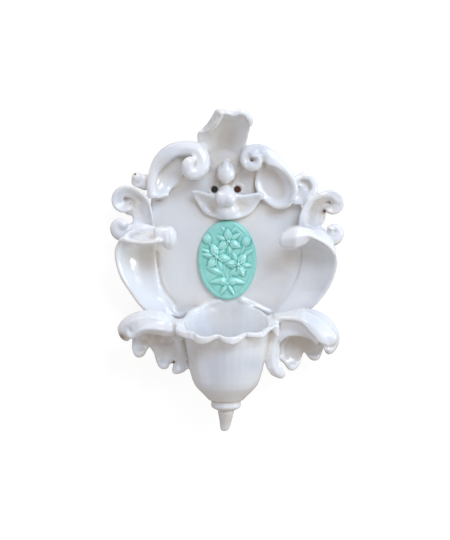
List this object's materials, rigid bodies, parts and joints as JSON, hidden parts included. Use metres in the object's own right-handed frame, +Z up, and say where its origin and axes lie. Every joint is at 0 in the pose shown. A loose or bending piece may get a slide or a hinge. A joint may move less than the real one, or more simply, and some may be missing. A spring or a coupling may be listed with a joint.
{
  "type": "holy water stoup",
  "caption": "Hand-built white glazed ceramic wall stoup: flat back slab, ruffled hanging bowl, oval relief plaque and rolled clay scrolls; hangs on a wall by its two holes.",
  "frame": {"origin": "on the flat wall face of the back slab, midway between the two hanging holes", "axes": "+Z up the wall, +Y into the wall, so the front faces -Y, and +X to the right as seen from the front"},
  "size_m": [0.2187, 0.087, 0.2953],
  "materials": {
    "white_glaze": "glossy white tin glaze, warm grey where it is thin",
    "aqua_glaze": "glossy aqua-green glaze that pools darker in the relief"
  },
  "bodies": {
    "root": {"back_plate": "white_glaze", "bowl": "white_glaze", "bowl_rim": "white_glaze", "bowl_collar": "white_glaze", "pendant_drop": "white_glaze", "medallion": "aqua_glaze", "side_scroll_left": "white_glaze", "side_scroll_right": "white_glaze", "top_scroll_left": "white_glaze", "top_scroll_right": "white_glaze", "crest_bud": "white_glaze", "crest_shell": "white_glaze", "bow_knob": "white_glaze", "bow_leaf": "white_glaze", "wing_roll_left": "white_glaze", "wing_roll_right": "white_glaze", "wing_leaf_left": "white_glaze", "wing_leaf_right": "white_glaze", "upper_curl_left": "white_glaze", "upper_curl_right": "white_glaze", "ear_stub_left": "white_glaze", "ear_curl_right": "white_glaze", "lower_curl_left": "white_glaze", "lower_curl_right": "white_glaze"}
  },
  "joints": []
}
